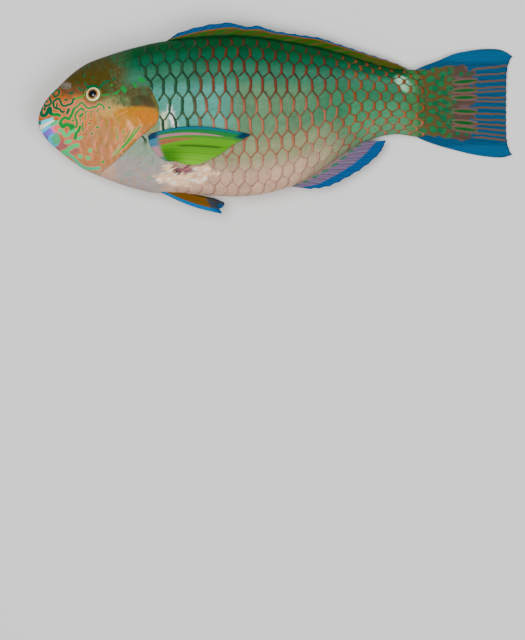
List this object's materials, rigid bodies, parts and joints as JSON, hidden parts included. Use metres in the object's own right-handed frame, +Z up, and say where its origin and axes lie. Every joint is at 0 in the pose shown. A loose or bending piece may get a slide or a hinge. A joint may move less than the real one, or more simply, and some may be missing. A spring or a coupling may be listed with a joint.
{
  "type": "parrotfish",
  "caption": "Still, life-size rivulated parrotfish lying on its right flank, with a beaked mouth, folded dorsal fin and a broad tail fin.",
  "frame": {"origin": "bottom centre of the bounding box, on the floor the fish lies on", "axes": "+X from the snout to the tail, +Y from the belly to the back, +Z up, out of the left flank"},
  "size_m": [0.3506, 0.141, 0.0516],
  "materials": {
    "head_skin": "wet smooth skin, orange with green lines",
    "gill_cover_skin": "wet smooth skin, orange",
    "beak": "fused tooth plates, off-white, smooth",
    "eye": "cream iris, dark pupil, clear cornea",
    "scaled_skin": "wet large scales, green with salmon edges",
    "fin_blue": "wet rayed membrane, blue with green and ochre streaks",
    "fin_violet": "wet rayed membrane, lilac with brown streaks",
    "fin_green": "wet rayed membrane, green",
    "fin_ochre": "wet rayed membrane, ochre with a blue leading edge"
  },
  "bodies": {
    "root": {"head": "head_skin", "gill_cover_left": "gill_cover_skin", "gill_cover_right": "gill_cover_skin", "beak_upper": "beak", "beak_lower": "beak", "eye_left": "eye", "eye_right": "eye", "trunk": "scaled_skin", "tail_stalk": "scaled_skin", "fin_dorsal": "fin_blue", "fin_anal": "fin_violet", "fin_tail": "fin_blue", "fin_pectoral_left": "fin_green", "fin_pectoral_right": "fin_green", "fin_pelvic_left": "fin_ochre", "fin_pelvic_right": "fin_ochre"}
  },
  "joints": []
}
